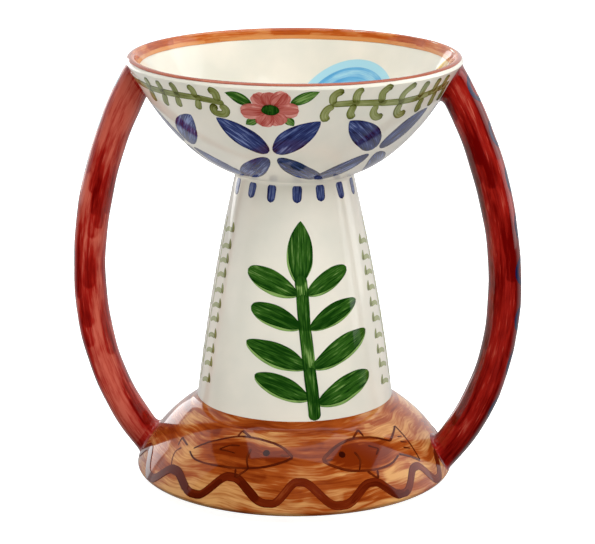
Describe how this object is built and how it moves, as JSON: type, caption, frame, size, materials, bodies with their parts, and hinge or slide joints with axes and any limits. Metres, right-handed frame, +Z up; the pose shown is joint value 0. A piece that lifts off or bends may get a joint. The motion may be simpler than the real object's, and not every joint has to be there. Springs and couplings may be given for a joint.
{
  "type": "footed bowl with handles",
  "caption": "Painted and glazed clay centrepiece: a wide round bowl on a tapering hollow stem and domed foot, with tall arched bar handles from rim to foot.",
  "frame": {"origin": "centre of the plane that the foot rests on, under the middle of the bowl", "axes": "+Z up through the middle of the bowl; the handles lie on +X and -X; the painted sprig and fish face -Y"},
  "size_m": [0.316, 0.2304, 0.3001],
  "materials": {
    "white_glazed_clay": "clear gloss glaze over white clay with painted motifs",
    "brown_washed_clay": "clear gloss glaze over a brushed brown wash with painted lines",
    "red_glazed_clay": "clear gloss glaze over brushed red-brown colour"
  },
  "bodies": {
    "root": {"bowl": "white_glazed_clay", "stem": "white_glazed_clay", "foot": "brown_washed_clay", "neck_joint_coil": "white_glazed_clay", "base_joint_coil": "white_glazed_clay", "right_handle": "red_glazed_clay", "right_upper_handle_coil": "red_glazed_clay", "right_lower_handle_coil": "red_glazed_clay", "left_handle": "red_glazed_clay", "left_upper_handle_coil": "red_glazed_clay", "left_lower_handle_coil": "red_glazed_clay"}
  },
  "joints": []
}
